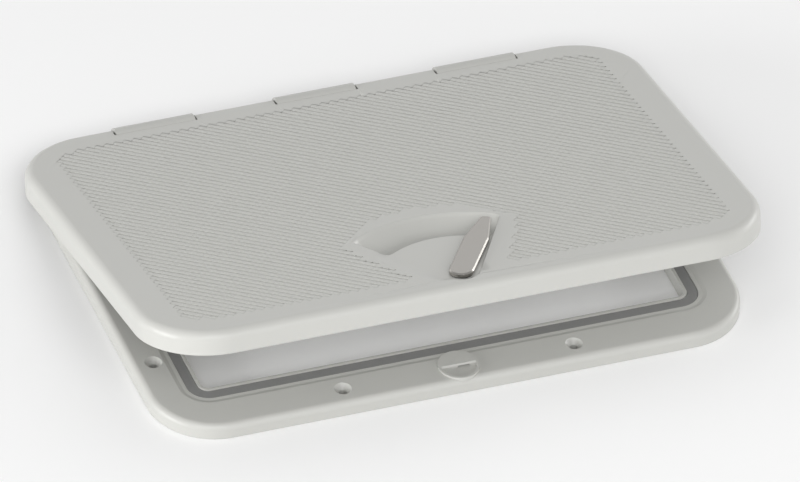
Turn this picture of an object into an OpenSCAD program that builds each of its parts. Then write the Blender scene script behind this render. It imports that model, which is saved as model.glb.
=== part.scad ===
/* [Lid] */
// Width of the lid across the hinge line
lid_w = 440; // [432:1:450]
// Depth of the lid from the hinge edge to the latch edge
lid_d = 316; // [314:1:320]
// Height of the lid from its top face to the bottom of its skirt
lid_h = 16.4; // [15.6:0.1:17.4]
// Height of the closed lid's top face above the deck
lid_top = 21; // [20.8:0.1:21.8]
// Radius of the lid's corners in plan
lid_corner_r = 52; // [48:0.5:56]
// Radius of the lid's upper edge, which is also the radius of its hinge barrels
lid_edge_r = 6.5; // [6.2:0.1:6.8]
// Thickness of the lid's wall
lid_wall = 3; // [2.6:0.1:3.2]

/* [Frame] */
// Width of the frame
frame_w = 418; // [416:1:424]
// Depth of the frame
frame_d = 295; // [293:1:296]
// Height of the flange above the deck
frame_h = 10.8; // [10.6:0.1:10.9]
// Radius of the frame's corners in plan
frame_corner_r = 45; // [42:0.5:50]
// Radius of the frame's upper edge
frame_edge_r = 4.5; // [4.1:0.1:5]
// Thickness of the frame's outer wall
frame_wall = 4; // [3:0.1:4.4]
// Clear width of the opening
open_w = 343; // [340:0.2:344]
// Clear depth of the opening
open_d = 213; // [208:0.2:214]
// Radius of the opening's corners
open_r = 5.3; // [4:0.1:7]

/* [Seal] */
// Thickness of the lip between the opening and the gasket
lip_t = 2; // [1.6:0.1:2.2]
// Width of the gasket
gasket_w = 7.4; // [7:0.1:7.8]
// Height of the gasket
gasket_h = 3; // [2.8:0.1:3.1]

/* [Fixing holes] */
// Distance between the holes along the front and back rails
rail_hole_x = 164; // [160:0.2:170]
// Distance between the front row and the back row of those holes
rail_hole_y = 265; // [263:0.2:267]
// Distance between the left and right columns of the side holes
side_hole_x = 388; // [386:0.2:391]
// Distance between the two holes of one side
side_hole_y = 142; // [130:0.2:150]
// Radius of each hole
hole_r = 2.6; // [2.2:0.1:2.8]
// Radius of each countersink
sink_r = 6; // [5.4:0.1:6.2]

/* [Hinge] */
// How far the lid stands open
open_angle = 13.6; // [0:0.1:86]
// Distance from the middle knuckle to each outer one
knuckle_pitch = 115; // [112:0.2:117]
// Length of one knuckle
knuckle_l = 56.4; // [52:0.2:57]
// Radius of the hinge pin
pin_r = 2; // [1.8:0.05:2.1]

/* [Latch] */
// Distance of the handle's spindle from the middle of the lid
spindle_y = 136.5; // [136.2:0.1:136.7]
// Distance of the keeper's centre from the middle of the frame
keeper_y = 132.5; // [132.3:0.1:132.6]
// Radius of the keeper
keeper_r = 14.2; // [14:0.1:14.3]
// Half of the handle's swing
swing = 32.3; // [31:0.1:33]
// Length of the handle from its spindle to its tip
lever_l = 77.5; // [76:0.5:80]
// Width of the handle
lever_w = 17; // [16:0.1:17.6]
// Thickness of the handle
lever_t = 3; // [2.4:0.1:3.4]

/* [Hidden] */
$fn = 64;
eps = 0.01;
far = 40;

// Seal channel, measured outwards from the edge of the opening
channel_u = lip_t;
channel_w = gasket_w + 0.4;
channel_z = 6.8;
lip_z = frame_h - 0.1;
ledge_u = channel_u + channel_w + 2.6;
ledge_z = frame_h - 0.9;
slope_u = ledge_u + 3;
rail_u = slope_u - 1.4;
rail_z = 4;
roof_t = 3;

// Hinge axis and the radii around it
axis_y = lid_d / 2 - lid_edge_r;
axis_z = lid_top - lid_edge_r;
notch_r = lid_edge_r + 1.94;
knuckle_r = notch_r - 0.34;
knuckle_x = [-knuckle_pitch, 0, knuckle_pitch];
notch_l = knuckle_l + 2.8;
barrel_end = lid_w / 2 - lid_corner_r - 1;
running = 0.05;
bush_r = 3.4;
bush_l = 9;
bush_flange_r = 5.2;
bush_flange_t = 0.7;
plug_r = 2.9;
plug_l = 4;
foot_t = 2;
foot_w = 44;
foot_y = 125.5;
foot_screw_x = 14;
foot_screw_y = 133;
foot_screw_r = 1.75;

// Lid levels
lid_bottom = lid_top - lid_h;
lid_under = lid_top - lid_wall;
seal_rib_t = 2.5;
seal_rib_z = 10.1;
seat_depth = 1.6;
seat_r = 12.35;
pocket_depth = 14.5;
pocket_in = 55;
pocket_out = 88.5;
pocket_floor_out = 71;
pocket_half = 44;
pocket_wall = 2.5;
pocket_round_y = 26;
pocket_round_r = 68.5;
wedge_foot = 11.5;
wedge_y = -4.5;
wedge_slope = 0.564;
liner_z = 13;
liner_t = 2;
liner_hx = 166;
liner_hy = 102;
liner_screw_x = [-150, -88, 88, 150];
liner_screw_pos = concat([for (x = liner_screw_x) for (y = [-80, 80]) [x, y]], [[-30, 80], [30, 80]]);

// Latch levels, all for the closed lid
seat_z = lid_top - seat_depth;
flange_t = 0.7;
lever_z = seat_z + flange_t + 0.1;
lever_bevel = 0.9;
spindle_r = 4;
sleeve_r = 5.5;
sleeve_z = 14;
boss_z = 16.4;
nut_z = 14.2;
spindle_z = 13.5;
washer_t = 0.5;
retainer_t = 0.6;
cam_top = spindle_z - retainer_t;
cam_z = 9.95;
lobe_t = 0.95;
lobe_r = 9;
cam_hub_r = 3.2;
keeper_top = 12.2;
catch_z = 9.6;
roof_z = 11.2;

// A rounded rectangle in plan, given by its half sizes
module plate(hx, hy, r) {
    square([2 * hx, 2 * (hy - r)], center = true);
    square([2 * (hx - r), 2 * hy], center = true);
    for (sx = [-1, 1]) for (sy = [-1, 1])
        translate([sx * (hx - r), sy * (hy - r)]) circle(r);
}

// A rounded rectangle standing from z0 to z1
module slab(hx, hy, r, z0, z1) {
    translate([0, 0, z0]) linear_extrude(z1 - z0) plate(hx, hy, r);
}

// Carries a profile around a rounded rectangle; the profile's x runs outwards from the edge
module rim(hx, hy, r) {
    for (q = [0:3]) {
        side = (q % 2 == 0) ? hx : hy;
        half = (q % 2 == 0) ? hy : hx;
        rotate([0, 0, 90 * q]) {
            translate([side, half - r, 0]) rotate([90, 0, 0])
                linear_extrude(2 * (half - r)) children();
            translate([side - r, half - r, 0]) rotate_extrude(angle = 90)
                translate([r, 0]) children();
        }
    }
}

// A rounded rectangle with a rounded upper edge
module cushion_slab(hx, hy, r, z0, z1, edge) {
    slab(hx - edge, hy - edge, r - edge, z0, z1);
    rim(hx, hy, r) {
        translate([-edge, z0]) square([edge, z1 - edge - z0]);
        intersection() {
            translate([-edge, z1 - edge]) circle(edge);
            translate([-edge, z1 - edge]) square(edge);
        }
    }
}

// Holes that fix the frame to a deck
module fixing_places() {
    for (sx = [-1, 1]) for (sy = [-1, 1]) {
        translate([sx * rail_hole_x / 2, sy * rail_hole_y / 2, 0]) children();
        translate([sx * side_hole_x / 2, sy * side_hole_y / 2, 0]) children();
    }
}

module foot_screw_places() {
    for (x = knuckle_x) for (s = [-1, 1])
        translate([x + s * foot_screw_x, foot_screw_y, 0]) children();
}

module keeper_screw_places() {
    translate([-8.5, -keeper_y + 3.6, 0]) children();
    translate([4.5, -keeper_y + 10.2, 0]) children();
}

module x_cylinder(r, x0, x1) {
    translate([x0, 0, 0]) rotate([0, 90, 0]) cylinder(r = r, h = x1 - x0);
}

module at_axis() {
    translate([0, axis_y, axis_z]) children();
}

// Turns the closed lid to where it stands open
module opened() {
    at_axis() rotate([-open_angle, 0, 0]) translate([0, -axis_y, -axis_z]) children();
}

// Places the handle's parts on the lid, at the open end of the swing
module on_spindle() {
    opened() translate([0, -spindle_y, 0]) children();
}

module frame_hollow() {
    difference() {
        union() {
            slab(frame_w / 2 - frame_wall, frame_d / 2 - frame_wall, frame_corner_r - frame_wall,
                 -eps, rail_z);
            difference() {
                slab(frame_w / 2 - frame_wall, frame_d / 2 - frame_wall, frame_corner_r - frame_wall,
                     1, frame_h - roof_t);
                slab(open_w / 2 + rail_u, open_d / 2 + rail_u, open_r + rail_u, 0, frame_h);
            }
        }
        slab(open_w / 2 + frame_wall, open_d / 2 + frame_wall, open_r + frame_wall, -1, frame_h);
        fixing_places() translate([0, 0, -1]) cylinder(r = sink_r + 1.6, h = frame_h);
        foot_screw_places() translate([0, 0, -1]) cylinder(r = 3.8, h = frame_h);
        translate([0, -keeper_y, -1]) cylinder(r = keeper_r + 2.5, h = frame_h + 1);
        for (x = [-150, -112, -50, 0, 50, 112, 150])
            translate([x, 0, frame_h / 2]) cube([2, frame_d, frame_h + 2], center = true);
        for (y = [-100, -40, 0, 40, 100])
            translate([0, y, frame_h / 2]) cube([frame_w, 2, frame_h + 2], center = true);
    }
}

module frame() {
    hx = open_w / 2;
    hy = open_d / 2;
    color([0.80, 0.80, 0.79]) difference() {
        cushion_slab(frame_w / 2, frame_d / 2, frame_corner_r, 0, frame_h, frame_edge_r);
        slab(hx, hy, open_r, -1, frame_h + 1);
        rim(hx, hy, open_r) {
            translate([-eps, lip_z]) square([channel_u + 2 * eps, 1]);
            translate([channel_u, channel_z]) square([channel_w, frame_h]);
            polygon([[channel_u + channel_w - eps, ledge_z], [ledge_u, ledge_z],
                     [slope_u, frame_h], [slope_u, frame_h + 1],
                     [channel_u + channel_w - eps, frame_h + 1]]);
        }
        frame_hollow();
        fixing_places() {
            translate([0, 0, -1]) cylinder(r = hole_r, h = frame_h + 2);
            translate([0, 0, frame_h - (sink_r - hole_r)])
                cylinder(r1 = hole_r, r2 = sink_r + 1, h = sink_r - hole_r + 1);
        }
        foot_screw_places() translate([0, 0, 2.6]) cylinder(r = foot_screw_r, h = frame_h);
        translate([0, -keeper_y, channel_z]) cylinder(r = keeper_r + 0.1, h = frame_h);
        keeper_screw_places() {
            translate([0, 0, -1]) cylinder(r = 1.55, h = frame_h);
            translate([0, 0, -1]) cylinder(r = 3.1, h = 3.6);
        }
    }
}

module gasket() {
    color([0.17, 0.17, 0.17])
        rim(open_w / 2, open_d / 2, open_r)
            translate([channel_u + 0.2, channel_z]) square([gasket_w, gasket_h]);
}

module hinge_block(x) {
    half = knuckle_l / 2;
    color([0.72, 0.72, 0.71]) translate([x, 0, 0]) difference() {
        union() {
            at_axis() {
                x_cylinder(lid_edge_r - 0.1, -half, half);
                intersection() {
                    x_cylinder(knuckle_r, -half, half);
                    union() {
                        translate([-half, -knuckle_r, -2]) cube([2 * half, 2 * knuckle_r, knuckle_r + 2]);
                        translate([-half, -1, -knuckle_r]) cube([2 * half, knuckle_r + 1, 2 * knuckle_r]);
                    }
                }
            }
            translate([-foot_w / 2, foot_y, frame_h])
                cube([foot_w, axis_y - foot_y - 3.5, foot_t]);
        }
        at_axis() {
            x_cylinder(pin_r + 0.4, -half - 1, half + 1);
            x_cylinder(bush_r, -half - 1, -half + bush_l);
            x_cylinder(bush_r, half - bush_l, half + 1);
        }
        for (s = [-1, 1]) translate([s * foot_screw_x, foot_screw_y, frame_h]) {
            translate([0, 0, -1]) cylinder(r = foot_screw_r + 0.1, h = foot_t + 2);
            translate([0, 0, 0.3]) cylinder(r1 = foot_screw_r + 0.1, r2 = foot_screw_r + 1.85, h = 1.75);
        }
    }
}

module hinge_block_left() hinge_block(knuckle_x[0]);
module hinge_block_centre() hinge_block(knuckle_x[1]);
module hinge_block_right() hinge_block(knuckle_x[2]);

module hinge_block_screws() {
    color([0.7, 0.7, 0.72]) foot_screw_places() {
        translate([0, 0, 3.4]) cylinder(r = foot_screw_r - 0.05, h = frame_h - 3);
        translate([0, 0, frame_h + 0.35])
            cylinder(r1 = foot_screw_r - 0.05, r2 = foot_screw_r + 1.55, h = 1.6);
    }
}

module hinge_bushes() {
    color([0.15, 0.15, 0.15]) for (x = knuckle_x) for (s = [-1, 1])
        translate([x, 0, 0]) at_axis() mirror([s < 0 ? 1 : 0, 0, 0]) difference() {
            union() {
                x_cylinder(bush_r - 0.05, knuckle_l / 2 - bush_l + 0.2, knuckle_l / 2 + bush_flange_t);
                x_cylinder(bush_flange_r, knuckle_l / 2, knuckle_l / 2 + bush_flange_t);
            }
            x_cylinder(pin_r + running, 0, knuckle_l);
        }
}

// The catch's section across the keeper, with the ramp that leads up to its roof
module catch_plan() {
    polygon([[-far, catch_z], [-0.4, catch_z], [-0.4, roof_z],
             [0.8, keeper_top + 0.1], [-far, keeper_top + 0.1]]);
}

module latch_keeper() {
    color([0.79, 0.79, 0.78]) translate([0, -keeper_y, 0]) difference() {
        translate([0, 0, channel_z]) cylinder(r = keeper_r, h = keeper_top - channel_z);
        intersection() {
            translate([0, 0, catch_z]) cylinder(r = keeper_r - 2, h = far);
            translate([-far / 2, 0, 0]) rotate([90, 0, 90]) linear_extrude(far) catch_plan();
        }
        intersection() {
            translate([0, keeper_y - spindle_y, catch_z]) cylinder(r = lobe_r + 0.4, h = roof_z - catch_z);
            translate([-0.8, -1, 0]) cube([10.2, 10, far]);
        }
        translate([0, keeper_y, 0]) keeper_screw_places()
            translate([0, 0, channel_z - 1]) cylinder(r = 1.25, h = 3);
    }
}

module keeper_screws() {
    color([0.7, 0.7, 0.72]) keeper_screw_places() {
        translate([0, 0, 1]) cylinder(r = 2.8, h = 1.6);
        translate([0, 0, 2.5]) cylinder(r = 1.2, h = channel_z - 1);
    }
}

// Wedge between the two side edges of the handle's swing, about the spindle
module wedge_plan(grow) {
    y_end = 110;
    half_foot = wedge_foot + grow;
    half_end = half_foot + wedge_slope * (y_end - wedge_y);
    polygon([[-half_foot, wedge_y], [half_foot, wedge_y], [half_end, y_end], [-half_end, y_end]]);
}

// Plan of the seat that the handle sweeps over
module seat_plan() {
    intersection() {
        circle(pocket_in + 0.5);
        wedge_plan(0);
    }
    circle(seat_r);
}

// The finger pocket's section, from the spindle outwards
module pocket_section(grow) {
    z = lid_top - pocket_depth - grow;
    polygon([[pocket_in - grow, z], [pocket_floor_out + grow, z],
             [pocket_out + grow, lid_top - 0.8], [pocket_out + grow, lid_top + 1],
             [pocket_in - grow, lid_top + 1]]);
}

module pocket(grow) {
    intersection() {
        rotate([0, 0, 30]) rotate_extrude(angle = 120) pocket_section(grow);
        linear_extrude(far) wedge_plan(grow * 1.15);
        translate([0, pocket_round_y, 0]) cylinder(r = pocket_round_r + grow, h = far);
    }
}

module liner_bosses() {
    for (p = liner_screw_pos) translate([p[0], p[1], liner_z + liner_t])
        cylinder(r = 4, h = lid_under - liner_z - liner_t + 0.5);
}

module hinge_notches() {
    for (x = knuckle_x) translate([x, 0, 0]) at_axis() {
        x_cylinder(notch_r, -notch_l / 2, notch_l / 2);
        translate([-notch_l / 2, 0, -far / 2]) cube([notch_l, far, far]);
        translate([-notch_l / 2, -notch_r, -far]) cube([notch_l, far, far]);
    }
}

module lid_outside() {
    cushion_slab(lid_w / 2, lid_d / 2, lid_corner_r, lid_bottom, lid_top, lid_edge_r);
}

module lid_shell() {
    hx = lid_w / 2 - lid_wall;
    hy = lid_d / 2 - lid_wall;
    color([0.82, 0.82, 0.81]) opened() difference() {
        union() {
            difference() {
                lid_outside();
                slab(hx, hy, lid_corner_r - lid_wall, lid_bottom - 1, lid_under);
                translate([-lid_w / 2 - 1, axis_y - 10.5, lid_bottom - 1])
                    cube([lid_w + 2, far, axis_z - lid_bottom + 1]);
            }
            at_axis() x_cylinder(lid_edge_r, -barrel_end, barrel_end);
            rim(open_w / 2, open_d / 2, open_r)
                translate([channel_u + channel_w / 2 - seal_rib_t / 2, seal_rib_z])
                    square([seal_rib_t, lid_under - seal_rib_z + 0.5]);
            intersection() {
                translate([0, -spindle_y, 0]) pocket(pocket_wall);
                slab(hx, hy, lid_corner_r, 0, lid_under + 0.5);
            }
            translate([0, -spindle_y, boss_z]) cylinder(r = seat_r + 2, h = lid_under - boss_z + 0.5);
            liner_bosses();
        }
        translate([0, -spindle_y, 0]) {
            pocket(0);
            translate([0, 0, seat_z]) linear_extrude(far) seat_plan();
            cylinder(r = sleeve_r + 0.05, h = far);
        }
        hinge_notches();
        at_axis() {
            x_cylinder(pin_r + 0.03, -barrel_end - 1, barrel_end + 1);
            for (s = [-1, 1]) mirror([s < 0 ? 1 : 0, 0, 0])
                x_cylinder(plug_r + 0.05, barrel_end - plug_l, barrel_end + far);
        }
        for (p = liner_screw_pos) translate([p[0], p[1], 0]) cylinder(r = 1.25, h = lid_under);
    }
}

module lid_liner() {
    color([0.78, 0.78, 0.77]) opened() difference() {
        slab(liner_hx, liner_hy, 8, liner_z, liner_z + liner_t);
        translate([0, -spindle_y, 0]) {
            rotate([0, 0, 90 - pocket_half - 6]) rotate_extrude(angle = 2 * (pocket_half + 6))
                translate([20, 0]) square([pocket_out - 15, far]);
            translate([-26, 0, 0]) cube([52, 46, far]);
        }
        for (p = liner_screw_pos) translate([p[0], p[1], 0]) cylinder(r = 1.6, h = far);
    }
}

module liner_screws() {
    color([0.7, 0.7, 0.72]) opened() for (p = liner_screw_pos) translate([p[0], p[1], 0]) {
        translate([0, 0, liner_z - 1.5]) cylinder(r = 3, h = 1.5);
        translate([0, 0, liner_z - 0.1]) cylinder(r = 1.2, h = 4.4);
    }
}

module hinge_pin() {
    color([0.72, 0.72, 0.74]) opened() at_axis() x_cylinder(pin_r, -barrel_end + plug_l, barrel_end - plug_l);
}

module pin_plugs() {
    color([0.78, 0.78, 0.77]) opened() at_axis() for (s = [-1, 1])
        mirror([s < 0 ? 1 : 0, 0, 0]) x_cylinder(plug_r, barrel_end - plug_l, barrel_end);
}

module handle_bushing() {
    color([0.16, 0.16, 0.16]) on_spindle() difference() {
        union() {
            translate([0, 0, sleeve_z]) cylinder(r = sleeve_r, h = seat_z - sleeve_z + 0.1);
            translate([0, 0, seat_z]) cylinder(r = 8, h = flange_t);
        }
        cylinder(r = spindle_r + running, h = far);
    }
}

module bushing_nut() {
    color([0.2, 0.2, 0.2]) on_spindle() translate([0, 0, nut_z]) difference() {
        cylinder(r = 8.5, h = boss_z - nut_z, $fn = 6);
        translate([0, 0, -1]) cylinder(r = sleeve_r + 0.05, h = 4);
    }
}

module wave_washer() {
    color([0.7, 0.7, 0.72]) on_spindle() translate([0, 0, spindle_z]) difference() {
        cylinder(r = 6, h = washer_t);
        translate([0, 0, -1]) cylinder(r = spindle_r + running, h = 3);
    }
}

// Plan of the lever, pointing along +Y from its spindle
module lever_plan() {
    hull() {
        circle(lever_w / 2);
        translate([-lever_w / 2, lever_l * 0.6]) square([lever_w, eps]);
        for (s = [-1, 1]) translate([s * 2.2, lever_l - 1.6]) circle(1.6);
    }
}

module handle_lever() {
    color([0.66, 0.65, 0.63]) on_spindle() rotate([0, 0, -swing]) translate([0, 0, lever_z]) hull() {
        linear_extrude(lever_t - lever_bevel) lever_plan();
        linear_extrude(lever_t) offset(delta = -lever_bevel) lever_plan();
    }
}

module handle_spindle() {
    color([0.66, 0.65, 0.63]) on_spindle() difference() {
        translate([0, 0, spindle_z]) cylinder(r = spindle_r, h = lever_z - spindle_z);
        translate([0, 0, 17.5]) rotate_extrude() translate([3.05, 0]) square([2, 1.2]);
        translate([-2, -2, spindle_z - 1]) cube([4, 4, 2.5]);
        cylinder(r = 1.5, h = 19.2);
    }
}

module spindle_seal() {
    color([0.08, 0.08, 0.08]) on_spindle() translate([0, 0, 18.1])
        rotate_extrude() translate([3.55, 0]) circle(0.46, $fn = 24);
}

module retaining_washer() {
    color([0.7, 0.7, 0.72]) on_spindle() translate([0, 0, cam_top]) difference() {
        cylinder(r = 6.8, h = retainer_t);
        translate([-2.05, -2.05, -1]) cube([4.1, 4.1, 3]);
    }
}

// The lobe starts beside the catch and turns in under its roof
module latch_cam() {
    lobe_from = -30;
    lobe_sweep = 51.5;
    color([0.7, 0.7, 0.72]) on_spindle() difference() {
        union() {
            translate([0, 0, cam_z]) cylinder(r = cam_hub_r, h = cam_top - cam_z);
            rotate([0, 0, lobe_from]) rotate_extrude(angle = lobe_sweep)
                translate([0, cam_z]) square([lobe_r, lobe_t]);
            translate([-1.98, -1.98, cam_top - 1]) cube([3.96, 3.96, 3]);
        }
        cylinder(r = 1.55, h = far);
        translate([0, 0, cam_z - 0.05]) cylinder(r1 = 2.9, r2 = 1.55, h = 1.35);
    }
}

module cam_screw() {
    color([0.7, 0.7, 0.72]) on_spindle() {
        translate([0, 0, cam_z]) cylinder(r1 = 2.8, r2 = 1.45, h = 1.3);
        translate([0, 0, cam_z + 1.2]) cylinder(r = 1.45, h = 7.8);
    }
}

frame();
gasket();
hinge_block_left();
hinge_block_centre();
hinge_block_right();
hinge_block_screws();
hinge_bushes();
latch_keeper();
keeper_screws();
lid_shell();
lid_liner();
liner_screws();
hinge_pin();
pin_plugs();
handle_bushing();
bushing_nut();
wave_washer();
handle_lever();
handle_spindle();
spindle_seal();
retaining_washer();
latch_cam();
cam_screw();
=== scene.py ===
"""Deck hatch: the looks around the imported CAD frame.

Lengths are in millimetres in the row frame, and the lid's own shapes are laid out on the closed lid.
"""

import math

import bmesh
import bpy
import numpy as np
from mathutils import Matrix, Vector


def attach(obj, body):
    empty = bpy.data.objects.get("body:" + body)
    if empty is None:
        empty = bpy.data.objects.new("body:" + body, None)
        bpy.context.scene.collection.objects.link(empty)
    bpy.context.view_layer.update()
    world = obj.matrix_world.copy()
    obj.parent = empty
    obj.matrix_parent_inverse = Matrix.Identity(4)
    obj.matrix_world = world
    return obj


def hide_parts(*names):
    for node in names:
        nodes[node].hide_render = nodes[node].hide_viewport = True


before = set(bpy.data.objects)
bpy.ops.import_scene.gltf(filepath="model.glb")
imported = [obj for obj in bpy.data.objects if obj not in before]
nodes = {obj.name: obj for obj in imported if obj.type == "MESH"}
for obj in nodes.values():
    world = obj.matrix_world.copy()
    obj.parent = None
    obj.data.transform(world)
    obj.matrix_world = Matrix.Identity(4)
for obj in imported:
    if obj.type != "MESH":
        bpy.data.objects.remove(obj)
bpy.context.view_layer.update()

MM = 0.001

# The closed lid and how far it stands open
OPEN_ANGLE = math.radians(13.6)
AXIS_Y = 151.5
AXIS_Z = 14.5
LID_TOP = 21.0

# Non-skid field: rows of pads inside a rounded rectangle and outside a smooth fan.
# CELL is half the distance between pads of one row or column.
FIELD_HALF_X = 197.5
FIELD_HALF_Y = 138.5
FIELD_CORNER = 26.0
CELL = 3.35
GROOVE_HALF = 0.65
GROOVE_DEPTH = 0.9
DIP = 0.2
PIT_R = 0.8
PIT_DEPTH = 1.7
PAD_SINK = 0.1
PAD_END = 0.7
FAN_HALF_TOP = 60.0
FAN_TOP_Y = -73.5
FAN_HALF_FOOT = 32.5
FAN_FOOT_Y = -131.0
FAN_ARC_Y = -110.5
FAN_ARC_R = 70.5

# Handle seat and finger pocket, about the spindle. The wedge is the pocket's plan between its two ends.
SPINDLE_Y = -136.5
SEAT_DEPTH = 1.6
SEAT_R = 12.35
SEAT_BLEND = 13.0
WEDGE_FOOT = 11.5
WEDGE_Y = -4.5
WEDGE_SLOPE = 0.564
POCKET_IN = 55.3
POCKET_OUT = 88.3
POCKET_TRIM_R = 68.2
POCKET_TRIM_Y = 26.0
POCKET_SLOPE = 0.83
POCKET_FLOOR = 7.0
POCKET_DEPTH = 13.6
POCKET_CORNER = 7.0
CRISP = 0.6
OVERLAP = 0.1

# The sheet that carries the seat and pocket
PATCH_STEP = 0.4
PATCH_X = 62.0
PATCH_Y = (-148.0, -36.0)
PATCH_TUCK = 0.03
PATCH_CUT = 1.8
PATCH_SHOULDER = (58.2, -74.5)


def opened():
    """The matrix that carries the closed lid to where it stands open, in metres."""
    axis = Matrix.Translation((0, AXIS_Y * MM, AXIS_Z * MM))
    return axis @ Matrix.Rotation(-OPEN_ANGLE, 4, "X") @ axis.inverted()


# ---------------------------------------------------------------- materials


def node_material(name, colour, roughness, metallic=0.0, grain=0.02, bump=0.0, scale=60.0,
                  stretch=(1.0, 1.0, 1.0)):
    """A Principled material whose colour and roughness vary a little with a fine noise."""
    mat = bpy.data.materials.new(name)
    mat.use_nodes = True
    tree = mat.node_tree
    shader = tree.nodes["Principled BSDF"]
    place = tree.nodes.new("ShaderNodeTexCoord")
    mapping = tree.nodes.new("ShaderNodeMapping")
    mapping.inputs["Scale"].default_value = stretch
    tree.links.new(place.outputs["Object"], mapping.inputs["Vector"])
    noise = tree.nodes.new("ShaderNodeTexNoise")
    noise.inputs["Scale"].default_value = scale
    noise.inputs["Detail"].default_value = 4.0
    tree.links.new(mapping.outputs["Vector"], noise.inputs["Vector"])
    tint = tree.nodes.new("ShaderNodeMix")
    tint.data_type = "RGBA"
    tint.inputs["A"].default_value = (*[c * (1 - grain) for c in colour], 1)
    tint.inputs["B"].default_value = (*[min(c * (1 + grain), 1) for c in colour], 1)
    tree.links.new(noise.outputs["Fac"], tint.inputs["Factor"])
    tree.links.new(tint.outputs["Result"], shader.inputs["Base Color"])
    gloss = tree.nodes.new("ShaderNodeMapRange")
    gloss.inputs["To Min"].default_value = roughness * 0.9
    gloss.inputs["To Max"].default_value = roughness * 1.1
    tree.links.new(noise.outputs["Fac"], gloss.inputs["Value"])
    tree.links.new(gloss.outputs["Result"], shader.inputs["Roughness"])
    shader.inputs["Metallic"].default_value = metallic
    if bump:
        relief = tree.nodes.new("ShaderNodeBump")
        relief.inputs["Strength"].default_value = bump
        relief.inputs["Distance"].default_value = 0.02 * MM
        tree.links.new(noise.outputs["Fac"], relief.inputs["Height"])
        tree.links.new(relief.outputs["Normal"], shader.inputs["Normal"])
    return mat


GREY = (0.50, 0.50, 0.475)
moulded = node_material("moulded_plastic", GREY, 0.36, grain=0.012, bump=0.15, scale=900.0)
# The hinge knuckles use the moulded grey darkened to 0.94: painted shade that stands in for the shade on
# their curved tops, not a different plastic.
knuckle_plastic_painted_shade = node_material("knuckle_plastic_painted_shade", [c * 0.94 for c in GREY], 0.38,
                                grain=0.012, bump=0.15, scale=900.0)
liner_plastic = node_material("liner_plastic", [c * 0.96 for c in GREY], 0.55, bump=0.3, scale=500.0)
rubber = node_material("seal_rubber", (0.215, 0.215, 0.212), 0.62, grain=0.08, bump=0.4, scale=700.0)
black = node_material("black_plastic", (0.02, 0.02, 0.02), 0.45, grain=0.1, scale=500.0)
steel = node_material("handle_steel", (0.41, 0.395, 0.37), 0.26, metallic=1.0,
                      grain=0.06, bump=0.25, scale=240.0, stretch=(9.0, 0.4, 1.0))
fitting = node_material("fitting_steel", (0.60, 0.60, 0.60), 0.28, metallic=1.0, grain=0.04, scale=300.0)


def paint(obj, mat):
    obj.data.materials.clear()
    obj.data.materials.append(mat)


# ---------------------------------------------------------------- mesh helpers


def make_object(name, mesh, mat, matrix=None):
    obj = bpy.data.objects.new(name, mesh)
    bpy.context.scene.collection.objects.link(obj)
    if matrix is not None:
        mesh.transform(matrix)
    paint(obj, mat)
    return obj


def mesh_from(name, verts, faces):
    """A mesh from points in millimetres."""
    mesh = bpy.data.meshes.new(name)
    mesh.from_pydata((np.asarray(verts, dtype=float) * MM).tolist(), [], faces)
    mesh.validate()
    mesh.update()
    return mesh


def smooth(mesh, degrees=32):
    mesh.shade_smooth()
    mesh.set_sharp_from_angle(angle=math.radians(degrees))


def soften(obj, width):
    """Rounds an object's sharp edges and evens out its shading, with modifiers only."""
    join = obj.modifiers.new("weld", "WELD")
    join.merge_threshold = 0.002 * MM
    if width:
        bevel = obj.modifiers.new("edges", "BEVEL")
        bevel.width = width * MM
        bevel.segments = 2
        bevel.limit_method = "ANGLE"
        bevel.angle_limit = math.radians(38)
        bevel.use_clamp_overlap = True
        bevel.harden_normals = False
    even = obj.modifiers.new("normals", "WEIGHTED_NORMAL")
    even.keep_sharp = True
    even.weight = 90


# ---------------------------------------------------------------- non-skid field


def in_field(x, y):
    """True where the lid carries pads."""
    ax = np.abs(x)
    ay = np.abs(y)
    cx = np.maximum(ax - (FIELD_HALF_X - FIELD_CORNER), 0)
    cy = np.maximum(ay - (FIELD_HALF_Y - FIELD_CORNER), 0)
    inside = (ax < FIELD_HALF_X) & (ay < FIELD_HALF_Y) & (np.hypot(cx, cy) < FIELD_CORNER)
    return inside & ~in_fan(x, y)


def in_fan(x, y):
    """True in the smooth fan around the handle and its pocket."""
    slope = (FAN_HALF_TOP - FAN_HALF_FOOT) / (FAN_TOP_Y - FAN_FOOT_Y)
    side = np.where(y < FAN_FOOT_Y, FAN_HALF_FOOT, FAN_HALF_FOOT + slope * (y - FAN_FOOT_Y))
    below = (np.abs(x) < side) & (y <= FAN_TOP_Y)
    above = (y > FAN_TOP_Y) & (np.hypot(x, y - FAN_ARC_Y) < FAN_ARC_R)
    return below | above


def cell_centres():
    """Centres of the whole cells of the field, as integer steps of half a pitch."""
    nx = int(FIELD_HALF_X / CELL) + 1
    ny = int(FIELD_HALF_Y / CELL) + 1
    i, j = np.meshgrid(np.arange(-nx, nx + 1), np.arange(-ny, ny + 1), indexing="ij")
    keep = (i + j) % 2 == 0
    i, j = i[keep], j[keep]
    whole = np.ones(len(i), dtype=bool)
    for dx, dy in ((1, 0), (0, 1), (-1, 0), (0, -1)):
        whole &= in_field((i + dx) * CELL, (j + dy) * CELL)
    return np.stack([i[whole], j[whole]], axis=1)


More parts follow.
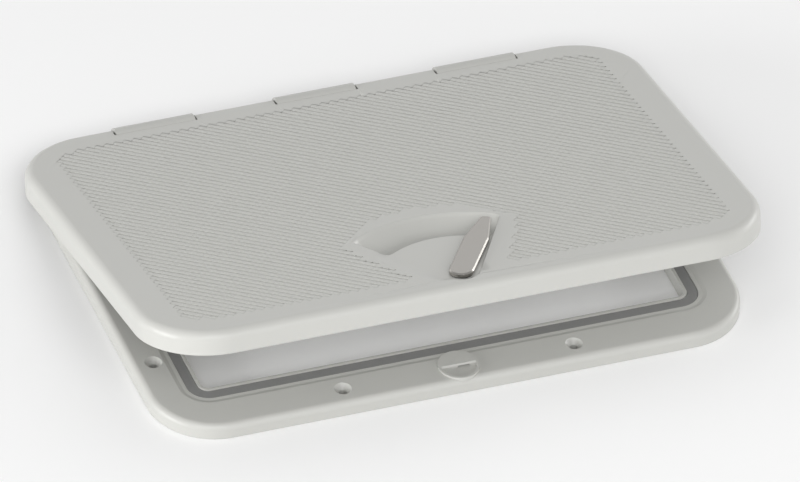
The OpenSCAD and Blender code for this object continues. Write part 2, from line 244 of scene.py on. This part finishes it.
def pads_mesh(cells):
    """Rows of small pads: deep grooves between the rows, and a slight dip between a row's pads."""
    side = CELL / math.sqrt(2)
    floor = LID_TOP - GROOVE_DEPTH - PAD_SINK
    along = ((-side, -DIP), (-side + PAD_END, 0.0), (side - PAD_END, 0.0), (side, -DIP))
    shoulder = side - GROOVE_HALF
    across = ((-shoulder - 0.15, None), (-shoulder, -0.26), (-shoulder + 0.5, -0.05), (0.0, 0.0),
              (shoulder - 0.5, -0.05), (shoulder, -0.26), (shoulder + 0.15, None))
    one = []
    for u, dip in along:
        for w, drop in across:
            z = floor if drop is None else LID_TOP + drop + dip
            one.append(((u + w) / math.sqrt(2), (w - u) / math.sqrt(2), z))
    one = np.array(one)
    centres = np.column_stack([cells * CELL, np.zeros(len(cells))])
    verts = (centres[:, None, :] + one[None, :, :]).reshape(-1, 3)
    n = len(across)
    quads = [(k * n + m, (k + 1) * n + m, (k + 1) * n + m + 1, k * n + m + 1)
             for k in range(len(along) - 1) for m in range(n - 1)]
    ends = [tuple(range(n)), tuple(range(4 * n - 1, 3 * n - 1, -1))]
    faces = [tuple(base + v for v in f) for base in range(0, len(verts), len(one)) for f in quads + ends]
    return mesh_from("non_skid_pads", verts, faces)


def field_cutter(cells):
    """A prism over the field, whose outline steps around the whole cells."""
    owned = {tuple(c) for c in cells}
    corners = ((1, 0), (0, 1), (-1, 0), (0, -1))
    follow = {}
    for i, j in owned:
        for c in range(4):
            (ax, ay), (bx, by) = corners[c], corners[(c + 1) % 4]
            if (i + ax + bx, j + ay + by) not in owned:
                follow.setdefault((i + ax, j + ay), []).append((i + bx, j + by))
    bm = bmesh.new()
    while follow:
        start = next(iter(follow))
        loop = [start]
        here = start
        while True:
            ahead = follow[here]
            step = ahead.pop()
            if not ahead:
                del follow[here]
            if step == start:
                break
            loop.append(step)
            here = step
        ring = [bm.verts.new((x * CELL * MM, y * CELL * MM, (LID_TOP - GROOVE_DEPTH) * MM)) for x, y in loop]
        for a, b in zip(ring, ring[1:] + ring[:1]):
            bm.edges.new((a, b))
    return extrude_outline(bm, GROOVE_DEPTH + 1, "field_cutter")


def pit_cutter(cells):
    """Short round bores between the ends of the pads that border the field on the right."""
    owned = {tuple(c) for c in cells}
    bm = bmesh.new()
    for i, j in sorted(owned):
        if (i + 1, j + 1) in owned or (i + 2, j) in owned:
            continue
        middle = LID_TOP + 1 - PIT_DEPTH / 2
        place = Matrix.Translation(((i + 1) * CELL * MM, j * CELL * MM, middle * MM))
        bmesh.ops.create_cone(bm, cap_ends=True, segments=16, radius1=PIT_R * MM, radius2=PIT_R * MM,
                              depth=(PIT_DEPTH + 2) * MM, matrix=place)
    mesh = bpy.data.meshes.new("pit_cutter")
    bm.to_mesh(mesh)
    bm.free()
    return mesh


def extrude_outline(bm, height, name):
    """Fills the closed outlines in bm and raises them by height in millimetres."""
    bmesh.ops.remove_doubles(bm, verts=bm.verts, dist=1e-7)
    bmesh.ops.triangle_fill(bm, edges=bm.edges[:], use_beauty=True)
    faces = bmesh.ops.extrude_face_region(bm, geom=bm.faces[:])
    up = [v for v in faces["geom"] if isinstance(v, bmesh.types.BMVert)]
    bmesh.ops.translate(bm, verts=up, vec=(0, 0, height * MM))
    bmesh.ops.recalc_face_normals(bm, faces=bm.faces[:])
    mesh = bpy.data.meshes.new(name)
    bm.to_mesh(mesh)
    bm.free()
    return mesh


# ---------------------------------------------------------------- seat and pocket


def ease(t):
    """A smooth step from 0 to 1."""
    t = np.clip(t, 0, 1)
    return t * t * (3 - 2 * t)


def patch_edge():
    """The outline inside which the seat and pocket are laid, a little inside the fan."""
    shoulder_x, shoulder_y = PATCH_SHOULDER
    points = [(-30.5, -145), (30.5, -145), (31, -131), (shoulder_x, shoulder_y)]
    start = math.atan2(shoulder_y - FAN_ARC_Y, shoulder_x)
    arc_r = math.hypot(shoulder_x, shoulder_y - FAN_ARC_Y)
    for k in range(1, 40):
        a = start + (math.pi - 2 * start) * k / 40
        points.append((arc_r * math.cos(a), FAN_ARC_Y + arc_r * math.sin(a)))
    return points + [(-shoulder_x, shoulder_y), (-31, -131)]


def seat_and_pocket(x, y):
    """Height of the lid's face over the seat and the pocket."""
    v = y - SPINDLE_Y
    r = np.hypot(x, v)
    upright = 1 / math.hypot(1, WEDGE_SLOPE)
    half = WEDGE_FOOT + WEDGE_SLOPE * (v - WEDGE_Y)
    to_side = (half - np.abs(x)) * upright
    to_right = (half - x) * upright
    to_left = (half + x) * upright
    to_inner = r - POCKET_IN
    to_outer = np.minimum(POCKET_OUT - r, POCKET_TRIM_R - np.hypot(x, v - POCKET_TRIM_Y))
    lack = np.hypot(np.maximum(POCKET_CORNER - to_inner, 0), np.maximum(POCKET_CORNER - to_side, 0))
    wall = ease((POCKET_CORNER - lack + OVERLAP) / 1.7)
    fall = np.maximum(to_outer - 0.3, 0) * POCKET_SLOPE * ease(to_outer / 3.0)
    lower = ease((fall - POCKET_DEPTH + POCKET_FLOOR) / (2 * POCKET_FLOOR))
    pocket = (fall * (1 - lower) + POCKET_DEPTH * lower) * wall
    front = SEAT_R - r
    right_edge = ease((np.where(v > WEDGE_Y, to_right, -9.0) + OVERLAP) / CRISP)
    beyond = np.hypot(np.maximum(-to_left, 0), np.maximum(r - POCKET_IN, 0))
    left_edge = np.where(v > WEDGE_Y, ease((SEAT_BLEND - beyond) / SEAT_BLEND), 0.0)
    round_end = ease((front + SEAT_BLEND * 0.6) / (SEAT_BLEND * 0.6))
    right_end = np.where((x > 0) & (v < WEDGE_Y), ease((front + OVERLAP) / CRISP), 1.0)
    seat = SEAT_DEPTH * np.maximum(np.minimum(right_edge, left_edge), round_end * right_end * (v < 12))
    return LID_TOP - np.maximum(seat, pocket)


def patch_mesh():
    """A fine sheet over the seat and the pocket, tucked under the plate at its border."""
    xs = np.arange(-PATCH_X, PATCH_X + PATCH_STEP / 2, PATCH_STEP)
    ys = np.arange(PATCH_Y[0], PATCH_Y[1] + PATCH_STEP / 2, PATCH_STEP)
    x, y = np.meshgrid(xs, ys, indexing="ij")
    z = seat_and_pocket(x, y)
    edge = np.array(patch_edge())
    inside = np.zeros(x.shape, dtype=bool)
    for (ax, ay), (bx, by) in zip(edge, np.roll(edge, -1, axis=0)):
        crosses = (ay > y) != (by > y)
        with np.errstate(divide="ignore", invalid="ignore"):
            inside ^= crosses & (x < (bx - ax) * (y - ay) / (by - ay) + ax)
    near = inside.copy()
    for shift in (1, -1):
        for axis in (0, 1):
            near |= np.roll(inside, shift, axis)
    near |= np.roll(np.roll(inside, 1, 0), 1, 1) | np.roll(np.roll(inside, -1, 0), -1, 1)
    z = np.where(inside, z, z - PATCH_TUCK)
    index = np.arange(x.size).reshape(x.shape)
    cell = near[:-1, :-1] & near[1:, :-1] & near[1:, 1:] & near[:-1, 1:]
    quads = np.stack([index[:-1, :-1], index[1:, :-1], index[1:, 1:], index[:-1, 1:]], axis=-1)[cell]
    used, inverse = np.unique(quads, return_inverse=True)
    verts = np.stack([x, y, z], axis=-1).reshape(-1, 3)[used]
    return mesh_from("seat_and_pocket", verts, inverse.reshape(quads.shape).tolist())


def patch_cutter():
    """A prism that opens the lid's top face over the seat and the pocket."""
    bm = bmesh.new()
    ring = [bm.verts.new((x * MM, y * MM, (LID_TOP - PATCH_CUT) * MM)) for x, y in patch_edge()]
    for a, b in zip(ring, ring[1:] + ring[:1]):
        bm.edges.new((a, b))
    return extrude_outline(bm, 3.0, "patch_cutter")


# ---------------------------------------------------------------- lid


def cut_lid(cutters):
    """A copy of the CAD lid with the cutters taken away from its top face."""
    mesh = nodes["lid_shell"].data.copy()
    bm = bmesh.new()
    bm.from_mesh(mesh)
    bmesh.ops.remove_doubles(bm, verts=bm.verts, dist=0.002 * MM)
    bm.to_mesh(mesh)
    bm.free()
    obj = make_object("lid_plate", mesh, moulded)
    tools = []
    for cutter in cutters:
        tool = make_object(cutter.name, cutter, moulded, opened())
        cut = obj.modifiers.new(cutter.name, "BOOLEAN")
        cut.operation = "DIFFERENCE"
        cut.solver = "EXACT"
        cut.object = tool
        tools.append(tool)
    dg = bpy.context.evaluated_depsgraph_get()
    result = bpy.data.meshes.new_from_object(obj.evaluated_get(dg))
    obj.modifiers.clear()
    obj.data = result
    for tool in tools:
        bpy.data.objects.remove(tool)
    smooth(result, 30)
    return obj


cells = cell_centres()
lid_plate = cut_lid([field_cutter(cells), patch_cutter(), pit_cutter(cells)])
paint(lid_plate, moulded)
soften(lid_plate, 0)
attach(lid_plate, "lid")
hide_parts("lid_shell")

pads = make_object("non_skid_pads", pads_mesh(cells), moulded, opened())
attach(pads, "lid")

seat = make_object("handle_seat", patch_mesh(), moulded, opened())
smooth(seat.data, 60)
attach(seat, "lid")

# ---------------------------------------------------------------- CAD pieces as they are

LOOKS = {
    "frame": (moulded, 0.35),
    "latch_keeper": (moulded, 0.45),
    "gasket": (rubber, 0.3),
    "hinge_block_left": (knuckle_plastic_painted_shade, 0.3),
    "hinge_block_centre": (knuckle_plastic_painted_shade, 0.3),
    "hinge_block_right": (knuckle_plastic_painted_shade, 0.3),
    "hinge_block_screws": (fitting, 0.1),
    "hinge_bushes": (black, 0.1),
    "keeper_screws": (fitting, 0.15),
    "lid_liner": (liner_plastic, 0.3),
    "liner_screws": (fitting, 0.3),
    "hinge_pin": (fitting, 0.2),
    "pin_plugs": (moulded, 0.2),
    "handle_bushing": (black, 0.1),
    "bushing_nut": (black, 0.2),
    "wave_washer": (fitting, 0.05),
    "handle_lever": (steel, 0.22),
    "handle_spindle": (steel, 0.1),
    "spindle_seal": (rubber, 0),
    "retaining_washer": (fitting, 0.08),
    "latch_cam": (fitting, 0.1),
    "cam_screw": (fitting, 0.1),
}
for name, (mat, edge) in LOOKS.items():
    paint(nodes[name], mat)
    soften(nodes[name], edge)

# ---------------------------------------------------------------- studio


def area_light(name, place, target, size, watts):
    """A rectangular lamp at place that faces target."""
    data = bpy.data.lights.new(name, "AREA")
    data.shape = "RECTANGLE"
    data.size, data.size_y = size
    data.energy = watts
    light = bpy.data.objects.new(name, data)
    light.location = place
    light.rotation_mode = "QUATERNION"
    light.rotation_quaternion = (Vector(target) - Vector(place)).to_track_quat("-Z", "Y")
    bpy.context.scene.collection.objects.link(light)


def studio():
    """A pale floor, a sky that is brightest at the horizon, and three soft lamps."""
    floor_mat = node_material("floor", (0.93, 0.93, 0.93), 0.9, grain=0.01, scale=3.0)
    bpy.ops.mesh.primitive_plane_add(size=60, location=(0, 0, -0.0003))
    floor = bpy.context.object
    floor.name = "floor"
    paint(floor, floor_mat)
    world = bpy.data.worlds.new("studio")
    bpy.context.scene.world = world
    world.use_nodes = True
    tree = world.node_tree
    place = tree.nodes.new("ShaderNodeTexCoord")
    split = tree.nodes.new("ShaderNodeSeparateXYZ")
    ramp = tree.nodes.new("ShaderNodeMapRange")
    tree.links.new(place.outputs["Generated"], split.inputs["Vector"])
    tree.links.new(split.outputs["Z"], ramp.inputs["Value"])
    ramp.interpolation_type = "SMOOTHSTEP"
    ramp.inputs["From Min"].default_value = 0.0
    ramp.inputs["From Max"].default_value = 0.45
    ramp.inputs["To Min"].default_value = 1.45
    ramp.inputs["To Max"].default_value = 0.55
    tree.links.new(ramp.outputs["Result"], tree.nodes["Background"].inputs["Strength"])
    tree.nodes["Background"].inputs["Color"].default_value = (1, 1, 1, 1)
    area_light("left", (-3.0, -0.3, 0.55), (0, 0, 0.05), (2.0, 0.8), 50)
    area_light("front", (-0.5, -2.5, 2.2), (0, 0, 0.03), (3.0, 1.6), 52)
    area_light("right", (2.8, 0.5, 0.65), (0, 0, 0.03), (1.9, 0.7), 20)


def camera():
    """A long lens along the photograph's line of sight."""
    right = Vector((0.9390, -0.3404, 0.0497))
    up = Vector((0.1813, 0.6126, 0.7694))
    back = right.cross(up).normalized()
    up = back.cross(right).normalized()
    right = up.cross(back).normalized()
    data = bpy.data.cameras.new("camera")
    data.sensor_width = 36.0
    data.lens = 1000.0
    data.clip_start, data.clip_end = 1.0, 100.0
    distance = 0.536 / 36.0 * 1000.0
    cam = bpy.data.objects.new("camera", data)
    turn = Matrix((right, up, back)).transposed().to_4x4()
    cam.matrix_world = Matrix.Translation(right * 0.0066 + up * 0.0102 + back * distance) @ turn
    bpy.context.scene.collection.objects.link(cam)
    bpy.context.scene.camera = cam


studio()
camera()
bpy.context.scene.view_settings.view_transform = "Standard"
